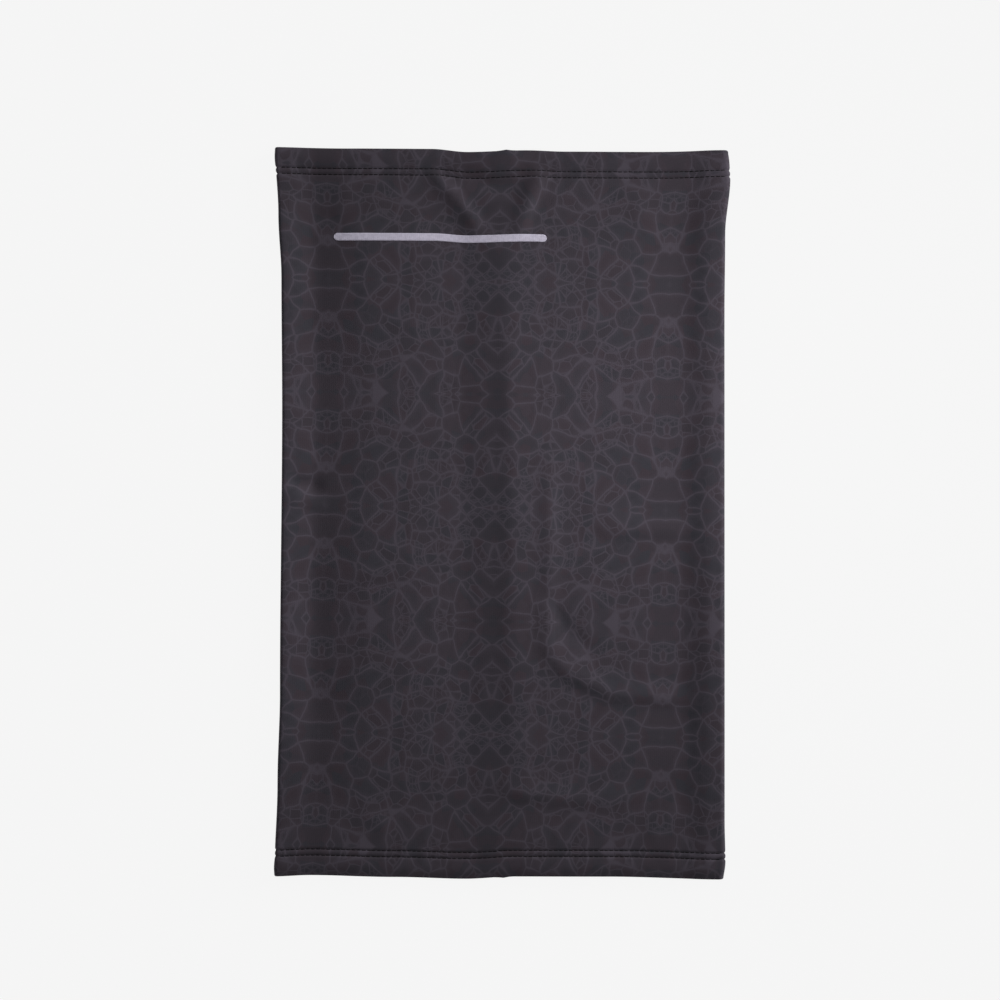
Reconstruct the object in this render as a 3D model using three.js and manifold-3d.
// A neck gaiter: one panel of printed stretch knit, sewn into a tube with a seam down the middle
// of the back, with a turned hem at each end. It lies flat on its back, at rest.
//
// Millimetres. X runs across the tube, Y along it towards the top hem, Z up through the two
// layers. The origin is at the middle of the underside.
//
// The panel is divided where it folds: a front that lifts, a back in two halves that meet at the
// seam, and a lower and an upper half to each side fold, which meet at half height.

import * as THREE from "three";
import { mergeVertices } from "three/addons/utils/BufferGeometryUtils.js";
import Module from "manifold-3d";

const wasm = await Module();
wasm.setup();

// --- the tube, lying flat ---
const TUBE_LENGTH = 404;
const TUBE_WIDTH = 245; // across the middle
const HEM_FLARE = 3.3; // each side stands out this much further at a hem
const FLARE_POWER = 4.5; // the higher, the nearer to the hem the flare starts
const CLOTH = 0.8; // one layer
const INNER_GAP = 7.2; // between the back and the front
const CLEARANCE = 0.3; // between neighbours that curve, and where the panel is divided

// --- the two hems ---
const OUTER_ROW = 11.3; // from the hem's edge to its first row of stitches
const ROW_SPACING = 3.4; // between the needles of a twin-needle machine
const HEM_MARGIN = 1.8; // cloth turned in past the inner row

// --- the threads ---
const THREAD_WIDTH = 0.5;
const THREAD_HEIGHT = 0.35;
const THREAD_SINK = 0.05; // how far a row of stitches lies below the face of the cloth
const LOOPER_BORDER = 0.5; // the looper thread passes each row by this much
const LOOPER_HEIGHT = 0.2;
const OVERLOCK_WIDTH = 5;
const OVERLOCK_HEIGHT = 0.2;

// --- the seam allowance, both edges of the panel pressed to one side ---
const ALLOWANCE_WIDTH = 6.3;

// --- the transferred mark: a plain bar ---
const MARK_LENGTH = 117;
const MARK_WIDTH = 4.2;
const MARK_FILM = 0.15;
const MARK_FROM_HEM = 49; // from the top hem's edge to the bar's middle line
const MARK_OFFSET = -34.1; // from the middle of the tube to the middle of the bar

// --- fineness of the curves ---
const SIDE_STEPS = 24; // along the whole side
const HEM_STEPS = 2; // along a hem's own depth
const ARC_STEPS = 6; // in a quarter circle

// --- sizes that follow ---
const HALF_LENGTH = TUBE_LENGTH / 2;
const HEIGHT = 2 * CLOTH + INNER_GAP;
const FOLD_RADIUS = HEIGHT / 2;
const FLAT_HALF = TUBE_WIDTH / 2 - FOLD_RADIUS; // from the middle to where a side fold starts
const LAYER_HALF = FLAT_HALF - CLEARANCE;
const SEAM_EDGE = CLEARANCE / 2; // where each half of the back stops
const HEM_FOLD_RADIUS = FOLD_RADIUS - CLOTH - CLEARANCE;
const HEM_DEPTH = OUTER_ROW + ROW_SPACING + HEM_MARGIN;
const GROOVE_DEPTH = THREAD_HEIGHT + THREAD_SINK;
const ROWS = { outer: HALF_LENGTH - OUTER_ROW, inner: HALF_LENGTH - OUTER_ROW - ROW_SPACING };
const ENDS = { top: 1, bottom: -1 };

const knit = new THREE.MeshStandardMaterial({ color: "#3c383e", roughness: 0.85, metalness: 0 });
const thread = new THREE.MeshStandardMaterial({ color: "#141316", roughness: 0.6, metalness: 0 });
const film = new THREE.MeshStandardMaterial({ color: "#ada8b7", roughness: 0.5, metalness: 0 });

const gaiter = new THREE.Group();

/** How far a side stands out from its place at the middle, at a distance y along the tube. */
function flareAt(y) {
  return HEM_FLARE * (Math.abs(y) / HALF_LENGTH) ** FLARE_POWER;
}

/** Adds a named piece to the tube, with a material of its own. */
function addPiece(name, geometry, material) {
  const piece = new THREE.Mesh(geometry, material.clone());
  piece.name = name;
  gaiter.add(piece);
}

/** Moves the corners of a piece that lie near a side outwards, more and more towards the hems. */
function flareSides(geometry) {
  const corners = geometry.getAttribute("position");
  for (let i = 0; i < corners.count; i++) {
    const x = corners.getX(i);
    if (Math.abs(x) > FLAT_HALF / 2) {
      corners.setX(i, x + Math.sign(x) * flareAt(corners.getY(i)));
    }
  }
  geometry.computeVertexNormals();
  return geometry;
}

/** A flat piece from corner low to corner high, with its sides flared. */
function flatPiece(low, high, steps) {
  const [width, length, height] = [0, 1, 2].map((axis) => high[axis] - low[axis]);
  const piece = new THREE.BoxGeometry(width, length, height, 1, steps, 1);
  piece.translate((low[0] + high[0]) / 2, (low[1] + high[1]) / 2, (low[2] + high[2]) / 2);
  return flareSides(piece);
}

/** The same solid in the form that can be cut. */
function toSolid(geometry) {
  const bare = geometry.clone();
  bare.deleteAttribute("normal");
  bare.deleteAttribute("uv");
  const merged = mergeVertices(bare);
  return new wasm.Manifold(
    new wasm.Mesh({
      numProp: 3,
      vertProperties: new Float32Array(merged.getAttribute("position").array),
      triVerts: new Uint32Array(merged.index.array),
    }),
  );
}

/** A solid's surface, back as three.js geometry. */
function toGeometry(solid) {
  const { vertProperties, triVerts, numProp } = solid.getMesh();
  const corners = new Float32Array((vertProperties.length / numProp) * 3);
  for (let i = 0; i < corners.length; i++) {
    corners[i] = vertProperties[Math.floor(i / 3) * numProp + (i % 3)];
  }
  const geometry = new THREE.BufferGeometry();
  geometry.setAttribute("position", new THREE.BufferAttribute(corners, 3));
  geometry.setIndex(new THREE.BufferAttribute(new Uint32Array(triVerts), 1));
  geometry.computeVertexNormals();
  return geometry;
}

/** A layer with the four grooves that its rows of stitches pull into its outer face. */
function groovedLayer(low, high, outerFace) {
  let solid = toSolid(flatPiece(low, high, SIDE_STEPS));
  const grooveWidth = THREAD_WIDTH + 2 * CLEARANCE;
  for (const end of Object.values(ENDS)) {
    for (const row of Object.values(ROWS)) {
      const groove = new THREE.BoxGeometry(TUBE_WIDTH * 2, grooveWidth, GROOVE_DEPTH * 2);
      groove.translate(0, end * row, outerFace);
      solid = solid.subtract(toSolid(groove));
    }
  }
  return toGeometry(solid);
}

/** A quarter of a round fold: a bent layer that starts at an angle, carried along the side. */
function foldQuarter(side, startAngle, radius, from, to, steps) {
  const section = new THREE.Shape();
  section.absarc(0, 0, radius, startAngle, startAngle + Math.PI / 2, false);
  section.absarc(0, 0, radius - CLOTH, startAngle + Math.PI / 2, startAngle, true);
  const quarter = new THREE.ExtrudeGeometry(section, {
    depth: to - from,
    steps,
    curveSegments: ARC_STEPS,
    bevelEnabled: false,
  });
  quarter.rotateX(Math.PI / 2);
  quarter.translate(side * FLAT_HALF, to, FOLD_RADIUS);
  return flareSides(quarter);
}

/** The front and the two halves of the back. */
function addLayers() {
  const front = groovedLayer(
    [-LAYER_HALF, -HALF_LENGTH, HEIGHT - CLOTH],
    [LAYER_HALF, HALF_LENGTH, HEIGHT],
    HEIGHT,
  );
  const backLeft = groovedLayer([-LAYER_HALF, -HALF_LENGTH, 0], [-SEAM_EDGE, HALF_LENGTH, CLOTH], 0);
  const backRight = groovedLayer([SEAM_EDGE, -HALF_LENGTH, 0], [LAYER_HALF, HALF_LENGTH, CLOTH], 0);
  addPiece("front_panel", front, knit);
  addPiece("back_panel_left", backLeft, knit);
  addPiece("back_panel_right", backRight, knit);
}

/** The side folds, each in a lower and an upper half, with their turned hems inside. */
function addSideFolds() {
  const quarters = [
    { side: 1, name: "right", half: "lower", start: -Math.PI / 2 },
    { side: 1, name: "right", half: "upper", start: 0 },
    { side: -1, name: "left", half: "upper", start: Math.PI / 2 },
    { side: -1, name: "left", half: "lower", start: Math.PI },
  ];
  for (const { side, name, half, start } of quarters) {
    const fold = foldQuarter(side, start, FOLD_RADIUS, -HALF_LENGTH, HALF_LENGTH, SIDE_STEPS);
    addPiece(`${name}_fold_${half}`, fold, knit);
    for (const [end, sign] of Object.entries(ENDS)) {
      const [from, to] = hemReach(sign);
      const hem = foldQuarter(side, start, HEM_FOLD_RADIUS, from, to, HEM_STEPS);
      addPiece(`${end}_hem_${name}_${half}`, hem, knit);
    }
  }
}

/** Where a hem's turned cloth starts and stops along the tube. */
function hemReach(end) {
  const reach = [end * (HALF_LENGTH - HEM_DEPTH), end * HALF_LENGTH];
  return reach.sort((a, b) => a - b);
}

/** The cloth turned in at one end, flat against each layer. */
function addHem(end, sign) {
  const [from, to] = hemReach(sign);
  const roof = HEIGHT - CLOTH;
  const front = flatPiece([-LAYER_HALF, from, roof - CLOTH], [LAYER_HALF, to, roof], HEM_STEPS);
  const left = flatPiece([-LAYER_HALF, from, CLOTH], [-SEAM_EDGE, to, 2 * CLOTH], HEM_STEPS);
  const right = flatPiece([SEAM_EDGE, from, CLOTH], [LAYER_HALF, to, 2 * CLOTH], HEM_STEPS);
  addPiece(`${end}_hem_front`, front, knit);
  addPiece(`${end}_hem_back_left`, left, knit);
  addPiece(`${end}_hem_back_right`, right, knit);
}

/** A thread laid right across the tube, at a distance y along it. */
function acrossTube(y, width, low, height) {
  return flatPiece([-LAYER_HALF, y - width / 2, low], [LAYER_HALF, y + width / 2, low + height], 1);
}

/** One end's two rows of needle thread and the looper thread that joins them inside. */
function addHemStitching(end, sign) {
  for (const [row, y] of Object.entries(ROWS)) {
    const onFront = acrossTube(sign * y, THREAD_WIDTH, HEIGHT - GROOVE_DEPTH, THREAD_HEIGHT);
    const onBack = acrossTube(sign * y, THREAD_WIDTH, THREAD_SINK, THREAD_HEIGHT);
    addPiece(`${end}_${row}_row_front`, onFront, thread);
    addPiece(`${end}_${row}_row_back`, onBack, thread);
  }
  const looperWidth = ROW_SPACING + 2 * LOOPER_BORDER;
  const middle = (sign * (ROWS.outer + ROWS.inner)) / 2;
  const roof = HEIGHT - 2 * CLOTH - LOOPER_HEIGHT;
  addPiece(`${end}_looper_front`, acrossTube(middle, looperWidth, roof, LOOPER_HEIGHT), thread);
  addPiece(`${end}_looper_back`, acrossTube(middle, looperWidth, 2 * CLOTH, LOOPER_HEIGHT), thread);
}

/** The panel's two raw edges inside the back, and the overlock thread that wraps them. */
function addBackSeam() {
  const reach = HALF_LENGTH - HEM_DEPTH - CLEARANCE;
  const outerEdge = SEAM_EDGE + ALLOWANCE_WIDTH;
  const top = 3 * CLOTH;
  const allowance = flatPiece([SEAM_EDGE, -reach, CLOTH], [outerEdge, reach, top], 1);
  const overlock = flatPiece(
    [outerEdge - OVERLOCK_WIDTH, -reach, top],
    [outerEdge, reach, top + OVERLOCK_HEIGHT],
    1,
  );
  addPiece("seam_allowance", allowance, knit);
  addPiece("seam_overlock_thread", overlock, thread);
}

/** The bar of film pressed onto the front, with round ends. */
function addMark() {
  const outline = new THREE.Shape();
  const reach = (MARK_LENGTH - MARK_WIDTH) / 2;
  const quarter = Math.PI / 2;
  outline.absarc(reach, 0, MARK_WIDTH / 2, -quarter, quarter, false);
  outline.absarc(-reach, 0, MARK_WIDTH / 2, quarter, 3 * quarter, false);
  const bar = new THREE.ExtrudeGeometry(outline, {
    depth: MARK_FILM,
    curveSegments: 2 * ARC_STEPS,
    bevelEnabled: false,
  });
  bar.translate(MARK_OFFSET, HALF_LENGTH - MARK_FROM_HEM, HEIGHT);
  addPiece("transfer_bar", bar, film);
}

addLayers();
addSideFolds();
for (const [end, sign] of Object.entries(ENDS)) {
  addHem(end, sign);
  addHemStitching(end, sign);
}
addBackSeam();
addMark();

export default gaiter;
